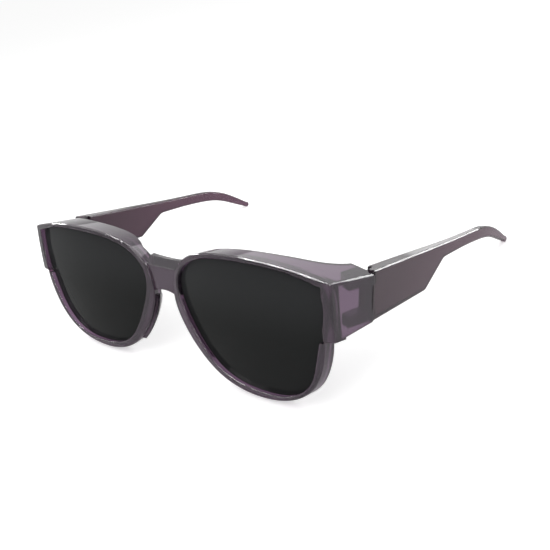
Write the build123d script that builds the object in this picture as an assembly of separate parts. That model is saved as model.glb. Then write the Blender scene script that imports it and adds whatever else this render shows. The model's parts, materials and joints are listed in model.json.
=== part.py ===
from build123d import *
import os
from math import cos, radians, sin, sqrt, tan

# Fitover sunglasses: a translucent moulded front that carries two dark lenses, with a brow shelf
# and end pieces deep enough to cover a pair of glasses worn underneath, and two temples on
# moulded hinges. All lengths are millimetres, all angles degrees.
# Worn frame: X to the wearer's left, Y backwards, Z up. The upper outer corners of the front lie
# at Y = 0 and Z = 0. The left half is modelled and mirrored, and at the end the whole part is
# pitched until it stands on its rims and temple tips.

# Front: overall sizes
front_width = 150.0       # across the upper outer corners
nose_half = 4.8           # centre line to the nearest point of a rim
brow_rise = 4.0           # highest point of the brow above the corners
rim_drop = 47.3           # lowest point of a rim below the corners
dome_radius = 200.0       # each half is domed like its lens
dome_tilt = 10.3          # the front leans, lower edge further back
rim_depth = 5.4           # front face to rear face of a rim
edge_bevel = 0.45         # round the outer front edge and the opening, and along the end piece
nose_splay = 19.0         # angle outwards of a rim's wall beside the nose, going back

# Lenses and their groove
lens_recess = 2.1         # front face of the rim to front face of the lens
lens_thickness = 1.8
lens_bite = 1.0           # how far the lens edge sits in the groove
groove_gap = 0.06         # play between lens and groove

# Brow shelf and end pieces
shelf_wall = 2.0
panel_length = 21.3       # corner to the hinge gap
panel_height = 19.0       # at the front
ledge_fall = 0.6          # how much lower the ledge below the end piece lies at the rim
panel_rise = 2.0          # how much lower the panel's height is at the hinge
panel_flare = 2.3         # how far the panel runs outwards over its length
panel_wall = 2.4

# Bridge
bridge_top = 6.8          # front edge of its top, below the corners
bridge_crest = 4.2        # rear edge of its top
bridge_bottom = 15.6
bridge_sag = 0.5          # how far the rear edge of its top dips between the rims
bridge_arch = 1.6         # how far its lower edge arches up
bridge_setback = 0.5      # behind the rims' front faces
bridge_slope = 3.0        # front edge to rear edge of its top
bridge_depth = 5.2
bridge_reach = 4.6        # how far its upper ends run into the rims
bridge_foot = 2.0         # how far its lower ends do

# Nose flanges
flange_top = 19.0         # below the corners
flange_length = 20.5
flange_reach = 5.5        # behind the rim's rear face
flange_wall = 2.0
flange_splay = 40.0       # angle outwards, going back

# Hinges
gap = 0.2                 # between the end piece and the open temple
hinge_setback = 1.4       # pin axis behind the end of the end piece
hinge_inset = 5.1         # pin axis inboard of the outer face there
knuckle_radius = 2.4
knuckle_play = 0.35       # radial room round a knuckle
lug_gap = 0.2             # between a lug and the middle knuckle
tongue_top = 4.4          # middle knuckle, below the corners
tongue_height = 8.2
upper_lug_height = 3.3
lower_lug_height = 3.5
lug_length = 11.8         # along the panel
lug_slope = 3.0           # the lug's slanted front corner
pad_reach = 0.8           # how far the temple's end steps into the end piece
screw_radius = 0.7
screw_play = 0.03
screw_head_radius = 1.2
screw_head_height = 0.7
screw_slot_width = 0.35
screw_slot_depth = 0.3
screw_tip_gap = 0.3

# Temples
temple_length = 112.5     # hinge gap to tip, along Y
temple_height = 17.0      # at the hinge
temple_lift = 0.4         # its top above the corners
temple_drop = 7.4         # top of the tip below the top at the hinge
arm_height = 4.8          # at the narrowest, behind the step
tip_height = 2.5
temple_thickness = 5.4    # at the hinge
arm_thickness = 3.0
tip_thickness = 2.4
tip_inset = 3.0           # how far the tip curves towards the head
temple_bevel = 0.5

overrun = 10.0            # how far a cutting or trimmed body runs past what it meets
rest_fineness = 0.05      # how finely the outline is followed to find the resting pitch

corner_x = front_width / 2
rim_width = corner_x - nose_half
rim_height = rim_drop + brow_rise
hinge_x = corner_x + panel_flare - hinge_inset
hinge_y = panel_length + hinge_setback
tongue_bottom = tongue_top + tongue_height

# Outer outline of a rim, from outside the end piece over the brow, down round the nose side and up
# to the end piece again: shares of the rim's width from the nose, and of its height from the bottom.
rim_share = [
    (1.07, 0.892), (0.92, 0.945), (0.767, 0.98), (0.614, 0.997), (0.462, 0.999), (0.307, 0.98),
    (0.155, 0.923), (0.042, 0.787), (0.008, 0.585), (0.06, 0.385), (0.153, 0.212), (0.268, 0.081),
    (0.41, 0.01), (0.568, -0.002), (0.722, 0.041), (0.846, 0.15), (0.925, 0.333), (0.954, 0.54),
]
# The lens shows through an opening of this outline, in the same shares.
opening_share = [
    (0.9, 0.906), (0.773, 0.946), (0.641, 0.962), (0.512, 0.963), (0.383, 0.955), (0.253, 0.928),
    (0.135, 0.862), (0.06, 0.739), (0.068, 0.567), (0.123, 0.4), (0.19, 0.255), (0.284, 0.129),
    (0.403, 0.062), (0.533, 0.043), (0.663, 0.052), (0.783, 0.116), (0.867, 0.25), (0.905, 0.42),
    (0.937, 0.587), (0.954, 0.77),
]
# Above the end piece's lower edge a pocket squares the opening's outer corners.
pocket_share = [(0.8, 0.85), (0.88, 0.915), (0.952, 0.894), (0.95, 0.53), (0.909, 0.524), (0.86, 0.7)]

# Plan of the shelf's rear edge, from its inner end to the hinge gap: shares of the front's half
# width, and of the end piece's length.
shelf_share = [
    (0.173, 0.2), (0.227, 0.27), (0.32, 0.3), (0.44, 0.3), (0.553, 0.325), (0.647, 0.385),
    (0.733, 0.465), (0.8, 0.545), (0.86, 0.69), (0.896, 0.87), (0.91, 1.0),
]

# Temple's side view: shares of its length back from the gap, and of the drop of its tip.
top_share = [
    (0.3, -0.07), (0.47, -0.11), (0.653, -0.21), (0.751, -0.2), (0.836, 0.05), (0.93, 0.58), (0.985, 0.94)
]
# Lower edge from the tip forwards: shares of the length, and how far below the top edge there,
# as shares of the way from the arm's height to the tip's.
low_share = [(0.98, 1.0), (0.9, 0.5), (0.8, 0.25), (0.69, 0.1), (0.56, 0.0)]
step_high_share = 0.43                # upper end of the slanted step
step_low_share = 0.31                 # lower end of it
step_drop = 14.4                      # lower end below the top edge
step_round = 1.2
arm_round = 5.0
# Temple's plan: shares of its length, and of the way from its thickness at the hinge to the arm's.
thick_share = [(0.3, 0.5), (0.55, 0.95), (0.75, 1.0)]
bend_share = 0.68                     # where the arm starts to curve towards the head

# The sphere that each half's front face lies on
dome_x = nose_half + rim_width / 2
dome_z = (brow_rise - rim_drop) / 2
centre_z = dome_z + dome_radius * sin(radians(dome_tilt))
centre_y = sqrt(dome_radius**2 - (corner_x - dome_x) ** 2 - centre_z**2)


def dome(depth):
    return Pos(dome_x, centre_y, centre_z) * Sphere(dome_radius - depth)


def front_y(x, z):
    return centre_y - sqrt(dome_radius**2 - (x - dome_x) ** 2 - (z - centre_z) ** 2)


def panel_x(y):
    # Outer face of the end piece
    return corner_x + panel_flare * y / panel_length


def rim_points(shares, lean=0):
    # A lean moves lower points inwards, as a share of how far below the corners they lie
    points = []
    for sx, sz in shares:
        z = sz * rim_height - rim_drop
        points.append((nose_half + sx * rim_width + lean * z, z))
    return points


def run_back(face, reach):
    # A face in the XZ plane, run along Y from well in front of the rims
    return extrude(Pos(0, -overrun, 0) * face, amount=overrun + reach, dir=(0, 1, 0))


def run_up(face, low, high):
    return extrude(Pos(0, 0, low) * face, amount=high - low)


def closed_face(*edges):
    return make_face(Curve() + list(edges))


def rim_face(lean=0):
    # The end piece's part of the outline is left open outwards, to be cut by the side's plane
    points = rim_points(rim_share, lean)
    points[-1] = (points[-1][0], -panel_height - ledge_fall)
    ledge = Polyline(points[-1], (points[0][0], -panel_height), points[0])
    return Plane.XZ * closed_face(Spline(*points), ledge)


def opening_face(margin):
    # The opening's outline, moved outwards by the margin
    line = Spline(*rim_points(opening_share), periodic=True)
    points = []
    for index in range(2 * len(opening_share)):
        along = index / (2 * len(opening_share))
        outwards = (line % along).rotate(Axis.Z, -90)
        points.append(line @ along + outwards * margin)
    return Plane.XZ * make_face(Spline(*points, periodic=True))


def side_limit():
    # Everything inboard of the end piece's outer face and in front of the hinge gap
    plan = make_face(
        Polyline(
            (-corner_x, -overrun), (panel_x(-overrun), -overrun), (panel_x(panel_length), panel_length),
            (-corner_x, panel_length), close=True,
        )
    )
    return run_up(plan, -front_width, front_width)


def shelf_zone():
    # Where the brow shelf's wall is kept behind the rim
    wide = corner_x + overrun
    above = Plane.XZ * (Pos(wide / 2, 0) * Rectangle(wide, front_width))
    skin = above - Pos(0, 0, -shelf_wall) * rim_face()
    rear = [(sx * corner_x, sy * panel_length) for sx, sy in shelf_share]
    far = panel_length + overrun
    outside = Polyline(
        rear[-1], (rear[-1][0], far), (wide, far), (wide, -overrun), (rear[0][0], -overrun), rear[0]
    )
    plan = closed_face(Spline(*rear), outside)
    return run_back(skin, far) & run_up(plan, -panel_height, brow_rise + overrun)


def panel_zone():
    # Where the end piece's side wall is kept behind the rim
    far = panel_length + overrun
    near_x, far_x = panel_x(-overrun) - panel_wall, panel_x(far) - panel_wall
    wide = corner_x + overrun
    plan = make_face(
        Polyline((near_x, -overrun), (far_x, far), (wide, far), (wide, -overrun), close=True)
    )
    start = front_y(corner_x, -panel_height) + rim_depth
    side = Plane.YZ * make_face(
        Polyline(
            (-overrun, -rim_drop), (start, -rim_drop), (start, -panel_height),
            (panel_length, panel_rise - panel_height), (far, panel_rise - panel_height),
            (far, overrun), (-overrun, overrun), close=True,
        )
    )
    return run_up(plan, -rim_drop, overrun) & extrude(side, amount=wide)


def lug_plan():
    start = panel_length - lug_length
    neck = sqrt(knuckle_radius**2 - hinge_setback**2)
    inner = hinge_x - knuckle_radius
    plate = make_face(
        Polyline(
            (inner, hinge_y), (inner, start + lug_slope), (panel_x(start) - panel_wall / 2, start),
            (panel_x(panel_length) - panel_wall / 2, panel_length), (hinge_x + neck, panel_length),
            (hinge_x, hinge_y), close=True,
        )
    )
    return plate + Pos(hinge_x, hinge_y) * Circle(knuckle_radius)


def lugs():
    low = -tongue_bottom - lug_gap
    high = -tongue_top + lug_gap
    plan = lug_plan()
    pair = run_up(plan, high, high + upper_lug_height) + run_up(plan, low - lower_lug_height, low)
    hole = Pos(hinge_x, hinge_y) * Circle(screw_radius + screw_play)
    seat = Pos(hinge_x, hinge_y) * Circle(screw_head_radius + screw_play)
    top = high + upper_lug_height
    return pair - run_up(hole, -rim_drop, top) - run_up(seat, top - screw_head_height, top)


def pad_recess():
    # Room in the end piece's rear face for the raised middle of the temple's end
    depth = pad_reach
    box = Box(panel_flare + panel_wall + knuckle_radius, depth, tongue_height + 2 * lug_gap)
    middle = -(tongue_top + tongue_bottom) / 2
    return Pos(panel_x(panel_length), panel_length - depth / 2, middle) * box


def splayed_rim(angle, depth, reach):
    # The rim's outline, run back from this far behind the front face and outwards at an angle.
    # It follows the front's lean, so it starts as deep at every height.
    middle = -(bridge_bottom + flange_top) / 2
    slope, run = tan(radians(dome_tilt)), tan(radians(angle))
    start = front_y(nose_half, middle) + middle * slope + depth
    return start, rim_face(slope * run), Vector(run, 1, 0) * reach


def nose_cut():
    # What is cut off a rim beside the nose, so that its wall splays outwards
    start, face, run = splayed_rim(nose_splay, 0, panel_length)
    back = (start + overrun) / panel_length
    kept = extrude(Pos(0, start, 0) * Pos(run * -back) * face, amount=run.length * (1 + back), dir=run)
    wide = dome_x + overrun
    low = Box(wide, front_width, rim_drop, align=(Align.MIN, Align.CENTER, Align.MAX))
    return Pos(-overrun, 0, -(bridge_top + bridge_bottom) / 2) * low - kept


def flange():
    start, face, run = splayed_rim(flange_splay, rim_depth, flange_reach)
    shift = rim_depth * tan(radians(nose_splay))
    root = rim_depth / 2 / flange_reach
    strip = face - Pos(flange_wall, 0, 0) * face
    low = -flange_top - flange_length
    middle = -flange_top - flange_length / 2
    band = Plane.XZ * (Pos(nose_half, middle) * Rectangle(front_width / 2, flange_length))
    plate = Pos(shift, start, 0) * Pos(run * -root) * (strip & band)
    plate = extrude(plate, amount=run.length * (1 + root), dir=run)
    top_y, low_y = front_y(nose_half, -flange_top), front_y(nose_half, low)
    top, foot = (top_y + rim_depth, -flange_top), (low_y + rim_depth, low)
    crest = (front_y(nose_half, middle) + rim_depth + flange_reach, middle)
    side = Plane.YZ * closed_face(Spline(top, crest, foot), Polyline(foot, (0, low), (0, -flange_top), top))
    return plate & extrude(side, amount=front_width / 2) & dome(lens_recess)


def bridge():
    wide, narrow = nose_half + bridge_reach, nose_half + bridge_foot
    top, low = bridge_sag - bridge_crest, -bridge_bottom - bridge_arch
    crest = ThreePointArc((-wide, top), (0, -bridge_crest), (wide, top))
    arch = ThreePointArc((narrow, low), (0, -bridge_bottom), (-narrow, low))
    ends = [Line((wide, top), (narrow, low)), Line((-narrow, low), (-wide, top))]
    front = front_y(nose_half, -bridge_top) + bridge_setback
    foot = front + (bridge_bottom - bridge_top) * tan(radians(dome_tilt))
    side = Plane.YZ * make_face(
        Polyline(
            (front, -bridge_top), (front + bridge_slope, -bridge_crest), (front + bridge_depth, top),
            (foot + bridge_depth, low), (foot, low), close=True,
        )
    )
    return run_back(Plane.XZ * closed_face(crest, arch, *ends), panel_length) & extrude(
        side, amount=front_width / 2, both=True
    )


def lens_body(margin, play):
    back = lens_recess + lens_thickness + play
    edge = run_back(opening_face(margin), panel_length)
    return (edge & dome(lens_recess - play)) - dome(back)


def pocket():
    # As deep as the lens lies behind the rim's front face
    face = Plane.XZ * make_face(Polyline(*rim_points(pocket_share), close=True))
    return run_back(face, panel_length) - dome(lens_recess)


def bevel_front(body):
    # The domed front face's edges, and the end piece's long outer edges
    front = max(body.faces().filter_by(GeomType.SPHERE), key=lambda face: face.area)
    side = max(body.faces().filter_by(GeomType.PLANE), key=lambda face: face.area)
    long_edges = [edge for edge in side.edges() if edge.bounding_box().size.Y > panel_length / 2]
    return chamfer(front.edges() + long_edges, edge_bevel)


def drop_at(share):
    # How far the top edge has dropped at a share of the length, as a share of the whole drop
    points = [(0.0, 0.0)] + top_share
    for (s0, d0), (s1, d1) in zip(points, points[1:]):
        if share <= s1:
            return d0 + (d1 - d0) * (share - s0) / (s1 - s0)
    return points[-1][1]


def temple_side():
    start = panel_length + gap
    upper = [(start + sy * temple_length, temple_lift - sd * temple_drop) for sy, sd in top_share]
    lower = []
    for sy, s in low_share:
        height = arm_height + (tip_height - arm_height) * s
        lower.append((start + sy * temple_length, temple_lift - height - temple_drop * drop_at(sy)))
    tip = (start + temple_length, (upper[-1][1] + lower[0][1]) / 2)
    rise = (upper[0][0] - start, upper[0][1] - temple_lift)
    fall = (upper[-1][0] - upper[-2][0], upper[-1][1] - upper[-2][1])
    high = (start + step_high_share * temple_length, temple_lift - arm_height)
    low = (start + step_low_share * temple_length, temple_lift - step_drop)
    face = closed_face(
        Line((start, temple_lift), upper[0]),
        Spline(*upper, tangents=[rise, fall]),
        ThreePointArc(upper[-1], tip, lower[0]),
        Spline(*lower),
        Polyline(lower[-1], high, low, (start, temple_lift - temple_height), (start, temple_lift)),
    )
    face = fillet(face.vertices().sort_by_distance((low[0], low[1], 0))[0], step_round)
    face = fillet(face.vertices().sort_by_distance((high[0], high[1], 0))[0], arm_round)
    return Plane.YZ * face


def temple_plan():
    # The inner face thins from the hinge to the arm, and the arm curves towards the head
    outer = panel_x(panel_length)
    start = panel_length + gap
    bend = start + bend_share * temple_length
    end = start + temple_length + overrun
    inner = [(outer - temple_thickness, start)]
    for sy, s in thick_share:
        thickness = temple_thickness + (arm_thickness - temple_thickness) * s
        inner.append((outer - thickness, start + sy * temple_length))
    inner.append((outer - tip_inset - tip_thickness, end))
    return closed_face(
        Line((outer, start), (outer, bend)),
        Spline((outer, bend), (outer - tip_inset, end), tangents=[(0, 1), (-tip_inset, temple_length / 4)]),
        Line((outer - tip_inset, end), inner[-1]),
        Spline(*reversed(inner)),
        Line(inner[0], (outer, start)),
    )


def temple():
    start = panel_length + gap
    outer = panel_x(panel_length)
    body = extrude(temple_side(), amount=front_width) & run_up(temple_plan(), -rim_height, overrun)
    body = chamfer([edge for edge in body.edges() if edge.bounding_box().max.Y > start + gap], temple_bevel)
    notch = Pos(hinge_x, hinge_y) * Circle(knuckle_radius + knuckle_play)
    body = body - run_up(notch, -tongue_top, overrun) - run_up(notch, -rim_height, -tongue_bottom)
    knuckle = Pos(hinge_x, hinge_y) * Circle(knuckle_radius)
    hole = Pos(hinge_x, hinge_y) * Circle(screw_radius + screw_play)
    inner = hinge_x + knuckle_radius + knuckle_play
    pad = Box(outer - inner, 2 * pad_reach, tongue_height)
    middle = -(tongue_top + tongue_bottom) / 2
    body = body + run_up(knuckle, -tongue_bottom, -tongue_top)
    body = body + Pos((outer + inner) / 2, start, middle) * pad
    return body - run_up(hole, -rim_height, 0)


def hinge_screw():
    top = upper_lug_height + lug_gap - tongue_top
    bottom = screw_tip_gap - tongue_bottom - lug_gap - lower_lug_height
    axis = Pos(hinge_x, hinge_y)
    shaft = run_up(axis * Circle(screw_radius), bottom, top)
    head = run_up(axis * Circle(screw_head_radius), top - screw_head_height, top)
    slot = run_up(axis * Rectangle(front_width, screw_slot_width), top - screw_slot_depth, top)
    return shaft + head - slot


def lens():
    return lens_body(lens_bite, 0)


def groove():
    return lens_body(lens_bite + groove_gap, groove_gap)


def half_front():
    body = run_back(rim_face(), panel_length) & side_limit() & dome(0)
    body = body - (dome(rim_depth) - shelf_zone() - panel_zone())
    body = body - (run_back(opening_face(0), panel_length) - dome(rim_depth))
    body = bevel_front(body) - pocket() - nose_cut() + flange()
    return body - groove() - pad_recess() + lugs()


def front_frame():
    half = half_front()
    middle = bridge() - groove() - mirror(groove(), Plane.YZ)
    return half + mirror(half, Plane.YZ) + middle


def outline_points(shape):
    points, _ = shape.tessellate(rest_fineness)
    return [(point.Y, point.Z) for point in points]


def rest_pitch(front, temple):
    # The pitch at which the rims and the temple tips stand on one plane, by halving
    rims, arms = outline_points(front), outline_points(temple)
    low, high = 0.0, 90.0
    for _ in range(40):
        pitch = (low + high) / 2
        c, s = cos(radians(pitch)), sin(radians(pitch))
        if min(z * c - y * s for y, z in rims) < min(z * c - y * s for y, z in arms):
            low = pitch
        else:
            high = pitch
    return low


front = front_frame()
left = {"lens": lens(), "temple": temple(), "hinge_screw": hinge_screw()}
pitch = rest_pitch(front, left["temple"])

parts = {"front_frame": front}
for name, body in left.items():
    parts[name + "_left"] = body
    parts[name + "_right"] = mirror(body, Plane.YZ)
turned = {name: Rot(X=-pitch) * body for name, body in parts.items()}
box = Compound(list(turned.values())).bounding_box()
place = Pos(-(box.min.X + box.max.X) / 2, -(box.min.Y + box.max.Y) / 2, -box.min.Z)

os.makedirs("parts", exist_ok=True)
for name, body in turned.items():
    export_step(place * body, "parts/" + name + ".step")
print("pitch", pitch, "box", box)
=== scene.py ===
import json
import math

import bpy
from mathutils import Matrix, Vector

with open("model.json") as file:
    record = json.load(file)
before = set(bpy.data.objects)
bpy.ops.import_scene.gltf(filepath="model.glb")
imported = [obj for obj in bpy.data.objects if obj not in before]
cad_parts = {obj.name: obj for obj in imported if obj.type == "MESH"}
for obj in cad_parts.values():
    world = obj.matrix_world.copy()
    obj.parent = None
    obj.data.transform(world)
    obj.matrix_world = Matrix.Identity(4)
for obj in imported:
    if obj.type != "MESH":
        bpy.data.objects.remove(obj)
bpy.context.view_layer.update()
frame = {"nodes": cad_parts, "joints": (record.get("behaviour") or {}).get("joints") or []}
print("frame loaded:", sorted(frame["nodes"]))

# Places taken from the photo are in the frame of the sunglasses as worn: X to the wearer's left,
# Y backwards, Z up, metres, with the front's upper corners at Y = 0 and Z = 0.
worn = {
    "hinge": (0.0722, 0.0227, -0.0085),     # middle of the left hinge
}


def jointNamed(name):
    return [joint for joint in frame["joints"] if joint["name"] == name][0]


# How far the sunglasses are tipped forward about X from where they sit when worn
def pitch():
    axis = jointNamed("left_temple_hinge")["axis"]
    return math.atan2(axis[1], axis[2])


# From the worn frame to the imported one, in which the sunglasses stand on rims and temple tips
def wornMatrix():
    turn = Matrix.Rotation(-pitch(), 4, "X")
    hinge = Vector(jointNamed("left_temple_hinge")["pos_m"])
    return Matrix.Translation(hinge - turn @ Vector(worn["hinge"])) @ turn


def linearColour(hexValue):
    channels = [int(hexValue[i:i + 2], 16) / 255 for i in (1, 3, 5)]
    return [c / 12.92 if c <= 0.04045 else ((c + 0.055) / 1.055) ** 2.4 for c in channels] + [1]


# A texture's scale, from the real size of one of its features in millimetres
def scaleFor(millimetres):
    return 1000 / millimetres


# Adds a node to a material or world. A setting is an input, by name or number, or else a property.
def addNode(owner, kind, settings=None, links=None):
    node = owner.node_tree.nodes.new(kind)
    for name, value in (settings or {}).items():
        if isinstance(name, int) or name in node.inputs:
            node.inputs[name].default_value = value
        else:
            setattr(node, name, value)
    for name, source in (links or {}).items():
        owner.node_tree.links.new(source, node.inputs[name])
    return node


def emptyMaterial(name):
    material = bpy.data.materials.new(name)
    material.use_nodes = True
    material.node_tree.nodes.clear()
    return material


# Camera
camera = {
    "azimuth": 38.94,
    "elevation": 14.68,
    "place": (0.19577, -0.17567, 0.05858),
    "lens": 48.6,       # millimetres, as the sensor's width
    "sensor": 36,
    "nearest": 0.01,
}


def addCamera():
    azimuth, elevation = math.radians(camera["azimuth"]), math.radians(camera["elevation"])
    ahead = Vector((-math.sin(azimuth) * math.cos(elevation), math.cos(azimuth) * math.cos(elevation),
                    -math.sin(elevation)))
    right = Vector((math.cos(azimuth), math.sin(azimuth), 0))
    up = right.cross(ahead)
    turned = Matrix((right, up, -ahead)).transposed().to_4x4()
    bpy.ops.object.camera_add()
    cameraObject = bpy.context.object
    cameraObject.matrix_world = wornMatrix() @ Matrix.Translation(camera["place"]) @ turned
    cameraObject.data.lens = camera["lens"]
    cameraObject.data.sensor_width = camera["sensor"]
    cameraObject.data.clip_start = camera["nearest"]
    bpy.context.scene.camera = cameraObject
    print("camera at", tuple(round(v, 4) for v in cameraObject.location))


# Studio: a white room. The lamps light the object, and the cards only show as reflections in it,
# as a photographer's white cards do.
studio = {
    "floorSize": 4,
    "floorColour": "#f4f4f4",
    "floorGlow": 0.5,
    "worldLight": 0.5,
    "lamps": [
        # place in the worn frame, width, height, watts
        ((0.15, -0.50, 0.42), 0.5, 0.35, 1.3),
        ((-0.45, -0.25, 0.3), 0.35, 0.35, 0.5),
        ((0.1, 0.30, 0.56), 0.5, 0.3, 0.9),
    ],
    "cards": [
        ((-0.150, 0.500, 0.108), 0.24, 0.05, 0.05),     # along the top of the temples
        ((-0.504, -0.010, 0.200), 0.16, 0.10, 0.8),     # along the far rim's upper edge
        ((-0.258, -0.160, 0.380), 0.07, 0.07, 0.2),     # four along the near rim's upper edge
        ((-0.190, -0.170, 0.405), 0.15, 0.15, 0.9),
        ((-0.100, -0.180, 0.440), 0.16, 0.16, 1.0),
        ((0.000, -0.165, 0.462), 0.16, 0.16, 1.0),      # the last reaches the corner of the front
        ((0.200, 0.420, 0.250), 0.24, 0.2, 1.3),        # along the end piece's and temple's edges
        ((0.530, -0.336, 0.100), 0.12, 0.48, 2.0),      # up the corner of the end piece
    ],
    "aim": (0.03, 0.03, -0.01),
}


def addFloor():
    bpy.ops.object.select_all(action="DESELECT")
    bpy.ops.mesh.primitive_plane_add(size=studio["floorSize"])
    floor = bpy.context.object
    floor.name = "floor"
    material = emptyMaterial("floorPaper")
    path = addNode(material, "ShaderNodeLightPath")
    paper = addNode(material, "ShaderNodeBsdfDiffuse", {"Color": linearColour(studio["floorColour"])})
    glow = addNode(material, "ShaderNodeEmission", {"Strength": studio["floorGlow"]})
    lit = addNode(material, "ShaderNodeAddShader", {}, {0: paper.outputs[0], 1: glow.outputs[0]})
    seen = addNode(material, "ShaderNodeMixShader", {},
                   {0: path.outputs["Is Camera Ray"], 1: paper.outputs[0], 2: lit.outputs[0]})
    white = addNode(material, "ShaderNodeEmission", {"Strength": 1})
    mixed = addNode(material, "ShaderNodeMixShader", {},
                    {0: path.outputs["Is Transmission Ray"], 1: seen.outputs[0], 2: white.outputs[0]})
    addNode(material, "ShaderNodeOutputMaterial", {}, {"Surface": mixed.outputs[0]})
    floor.data.materials.append(material)


def addWorld():
    world = bpy.data.worlds.new("studioWorld")
    bpy.context.scene.world = world
    world.use_nodes = True
    world.node_tree.nodes.clear()
    path = addNode(world, "ShaderNodeLightPath")
    direct = addNode(world, "ShaderNodeMath", {"operation": "MAXIMUM"},
                     {0: path.outputs["Is Camera Ray"], 1: path.outputs["Is Glossy Ray"]})
    seen = addNode(world, "ShaderNodeMath", {"operation": "MAXIMUM"},
                   {0: direct.outputs[0], 1: path.outputs["Is Transmission Ray"]})
    light = addNode(world, "ShaderNodeBackground",
                    {"Color": (1, 1, 1, 1), "Strength": studio["worldLight"]})
    white = addNode(world, "ShaderNodeBackground", {"Color": (1, 1, 1, 1), "Strength": 1})
    mixed = addNode(world, "ShaderNodeMixShader", {},
                    {0: seen.outputs[0], 1: light.outputs[0], 2: white.outputs[0]})
    addNode(world, "ShaderNodeOutputWorld", {}, {"Surface": mixed.outputs[0]})


def addLamp(place, width, height, watts):
    aim = wornMatrix() @ Vector(studio["aim"])
    bpy.ops.object.light_add(type="AREA", location=wornMatrix() @ Vector(place))
    lamp = bpy.context.object
    lamp.data.shape = "RECTANGLE"
    lamp.data.size = width
    lamp.data.size_y = height
    lamp.data.energy = watts
    lamp.rotation_euler = (aim - lamp.location).to_track_quat("-Z", "Y").to_euler()
    lamp.visible_transmission = False       # clear plastic shows the white room, not the lamps
    return lamp


def addStudio():
    addFloor()
    addWorld()
    for lamp in studio["lamps"]:
        addLamp(*lamp)
    for card in studio["cards"]:
        addLamp(*card).visible_diffuse = False
    bpy.context.scene.view_settings.view_transform = "Standard"
    print("studio ready:", len(studio["lamps"]), "lamps and", len(studio["cards"]), "cards")


# Front and temples: tinted polycarbonate, injection moulded in a polished mould. Light passes through
# its thin walls, and thick places go dark. Its edges get a painted shade, darker and pinker, for
# light reflected and bent inside them. Its skin is glossy with a faint ripple.
framePlastic = {
    "colour": "#b095b3",
    "clearness": 0.94,
    "specular": 0.35,
    "tint": "#beb6bb",
    "density": 800,
    "edge": 0.0005,         # radius of the moulded edges, metres
    # painted shade: the dark pink colour painted along the edges, for light reflected and bent inside
    # them
    "paintedEdgeShade": "#76506a",
    "paintedShadeBand": 0.0011,     # width of the painted edge shade, over which the colour deepens towards an edge, metres
    "edgeTurn": (0.75, 0.98),       # how alike the two normals are at an edge, and inside its band
    "edgeSamples": 6,
    "roughness": (0.018, 0.048),    # polished, and where handling has dulled it
    "ior": 1.585,
    "handling": 11,         # patches that handling leaves a little duller, millimetres
    "handlingDetail": 3,
    "ripple": 2.9,          # ripple of the moulded skin, millimetres
    "rippleDetail": 2,
    "rippleDepth": 0.0002,  # metres
    "rippleStrength": 0.03,
}

# The temples are thicker than the front's walls, so they come out darker and warmer, and their flat
# sides reflect less
templePlastic = dict(framePlastic, colour="#b08aa6", tint="#c0aeb6", density=1000, specular=0.1)


def mouldedPolycarbonate(name, look):
    material = emptyMaterial(name)
    place = addNode(material, "ShaderNodeTexCoord")
    handled = addNode(material, "ShaderNodeTexNoise",
                      {"Scale": scaleFor(look["handling"]), "Detail": look["handlingDetail"]},
                      {"Vector": place.outputs["Object"]})
    rough = addNode(material, "ShaderNodeMapRange",
                    {"To Min": look["roughness"][0], "To Max": look["roughness"][1]},
                    {"Value": handled.outputs["Fac"]})
    ripple = addNode(material, "ShaderNodeTexNoise",
                     {"Scale": scaleFor(look["ripple"]), "Detail": look["rippleDetail"]},
                     {"Vector": place.outputs["Object"]})
    bump = addNode(material, "ShaderNodeBump",
                   {"Strength": look["rippleStrength"], "Distance": look["rippleDepth"]},
                   {"Height": ripple.outputs["Fac"]})
    rounded = addNode(material, "ShaderNodeBevel",
                      {"Radius": look["edge"], "samples": look["edgeSamples"]},
                      {"Normal": bump.outputs["Normal"]})
    # painted shade: how far the normal turns within the band tells how near the edge is, and the
    # colour darkens there
    face = addNode(material, "ShaderNodeNewGeometry")
    turned = addNode(material, "ShaderNodeBevel",
                     {"Radius": look["paintedShadeBand"], "samples": look["edgeSamples"]})
    likeness = addNode(material, "ShaderNodeVectorMath", {"operation": "DOT_PRODUCT"},
                       {0: turned.outputs["Normal"], 1: face.outputs["True Normal"]})
    inside = addNode(material, "ShaderNodeMapRange",
                     {"From Min": look["edgeTurn"][0], "From Max": look["edgeTurn"][1]},
                     {"Value": likeness.outputs["Value"]})
    # painted shade: near an edge the colour is mixed towards the painted edge shade
    # inputs 6 and 7 and output 2 of this node are its colours
    colour = addNode(material, "ShaderNodeMix",
                     {"data_type": "RGBA", 6: linearColour(look["paintedEdgeShade"]),
                      7: linearColour(look["colour"])}, {0: inside.outputs["Result"]})
    surface = addNode(material, "ShaderNodeBsdfPrincipled",
                      {"Transmission Weight": look["clearness"], "IOR": look["ior"],
                       "Specular IOR Level": look["specular"]},
                      {"Base Color": colour.outputs[2], "Roughness": rough.outputs["Result"],
                       "Normal": rounded.outputs["Normal"]})
    depth = addNode(material, "ShaderNodeVolumeAbsorption",
                    {"Color": linearColour(look["tint"]), "Density": look["density"]})
    addNode(material, "ShaderNodeOutputMaterial", {},
            {"Surface": surface.outputs[0], "Volume": depth.outputs[0]})
    return material


# Lenses: dark grey polarised cellulose sheet, pressed to a dome and polished. It has a deep even
# colour and only a faint reflection. Its colour is lightened a little towards the brow as a painted
# sheen of reflected light.
lensSheet = {
    "colour": "#232424",
    # painted sheen: the lighter colour towards the brow stands in for reflected light
    "paintedSheenColour": "#303132",
    "paintedSheenFrom": 0.024,      # heights above the ground between which the painted sheen lightens the colour, metres
    "paintedSheenTo": 0.044,
    "roughness": (0.02, 0.08),      # polished, and where it was wiped
    "specular": 0.07,
    "ior": 1.5,
    "wipe": 6,              # faint wipe marks, millimetres
    "wipeDetail": 4,
}


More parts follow.
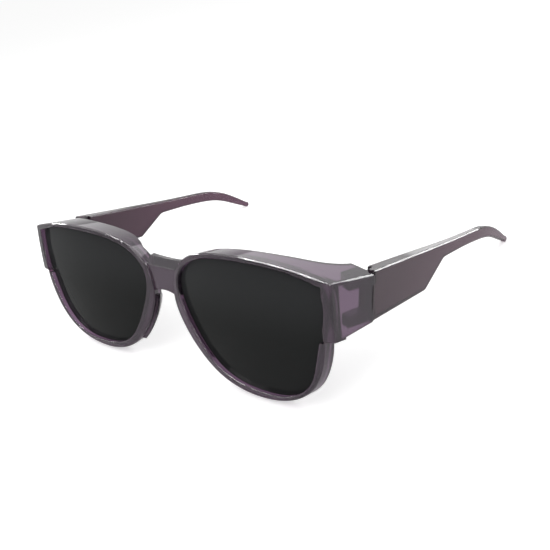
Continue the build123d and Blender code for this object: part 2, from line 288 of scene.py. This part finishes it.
def polarisedSheet(name, look):
    material = emptyMaterial(name)
    place = addNode(material, "ShaderNodeTexCoord")
    axes = addNode(material, "ShaderNodeSeparateXYZ", {}, {0: place.outputs["Object"]})
    # painted sheen: the lens colour lightens with height towards the brow
    paintedSheen = addNode(material, "ShaderNodeMapRange",
                   {"From Min": look["paintedSheenFrom"], "From Max": look["paintedSheenTo"],
                    "interpolation_type": "SMOOTHSTEP"}, {"Value": axes.outputs["Z"]})
    colour = addNode(material, "ShaderNodeMix",
                     {"data_type": "RGBA", 6: linearColour(look["colour"]),
                      7: linearColour(look["paintedSheenColour"])}, {0: paintedSheen.outputs["Result"]})
    wiped = addNode(material, "ShaderNodeTexNoise",
                    {"Scale": scaleFor(look["wipe"]), "Detail": look["wipeDetail"]},
                    {"Vector": place.outputs["Object"]})
    rough = addNode(material, "ShaderNodeMapRange",
                    {"To Min": look["roughness"][0], "To Max": look["roughness"][1]},
                    {"Value": wiped.outputs["Fac"]})
    surface = addNode(material, "ShaderNodeBsdfPrincipled",
                      {"IOR": look["ior"], "Specular IOR Level": look["specular"]},
                      {"Base Color": colour.outputs[2], "Roughness": rough.outputs["Result"]})
    addNode(material, "ShaderNodeOutputMaterial", {}, {"Surface": surface.outputs[0]})
    return material


# Hinge screws: stainless steel, turned on a lathe, which leaves fine rings round the axis that draw
# a soft highlight out across the head
screwSteel = {
    "colour": "#d6d3ce",
    "roughness": (0.21, 0.39),      # on the ridges and in the grooves
    "groove": 0.12,         # spacing of the tool marks, millimetres: coarser than real, to show
    "grooveDepth": 0.00001,     # metres
    "grooveStrength": 0.4,
}


def turnedSteel(name, look, centre):
    material = emptyMaterial(name)
    place = addNode(material, "ShaderNodeTexCoord")
    onAxis = addNode(material, "ShaderNodeMapping",
                     {"vector_type": "TEXTURE", "Location": centre, "Rotation": (-pitch(), 0, 0)},
                     {"Vector": place.outputs["Object"]})
    ringWidth = math.pi / 10        # of the wave texture at scale 1
    rings = addNode(material, "ShaderNodeTexWave",
                    {"wave_type": "RINGS", "rings_direction": "Z",
                     "Scale": scaleFor(look["groove"]) * ringWidth},
                    {"Vector": onAxis.outputs[0]})
    rough = addNode(material, "ShaderNodeMapRange",
                    {"To Min": look["roughness"][0], "To Max": look["roughness"][1]},
                    {"Value": rings.outputs["Fac"]})
    bump = addNode(material, "ShaderNodeBump",
                   {"Strength": look["grooveStrength"], "Distance": look["grooveDepth"]},
                   {"Height": rings.outputs["Fac"]})
    surface = addNode(material, "ShaderNodeBsdfPrincipled",
                      {"Base Color": linearColour(look["colour"]), "Metallic": 1},
                      {"Roughness": rough.outputs["Result"], "Normal": bump.outputs["Normal"]})
    addNode(material, "ShaderNodeOutputMaterial", {}, {"Surface": surface.outputs[0]})
    return material


def dress():
    sheet = polarisedSheet("greyPolarisedSheet", lensSheet)
    temples = mouldedPolycarbonate("smokyPolycarbonateTemples", templePlastic)
    finishes = {
        "front_frame": mouldedPolycarbonate("smokyPolycarbonateFront", framePlastic),
        "lens_left": sheet,
        "lens_right": sheet,
        "temple_left": temples,
        "temple_right": temples,
    }
    for side in ("left", "right"):
        finishes["hinge_screw_" + side] = turnedSteel("turnedStainlessSteel_" + side, screwSteel,
                                                      jointNamed(side + "_temple_hinge")["pos_m"])
    for name, node in frame["nodes"].items():
        node.data.materials.clear()
        node.data.materials.append(finishes[name])
    print("dressed", len(frame["nodes"]), "nodes")


addCamera()
addStudio()
dress()
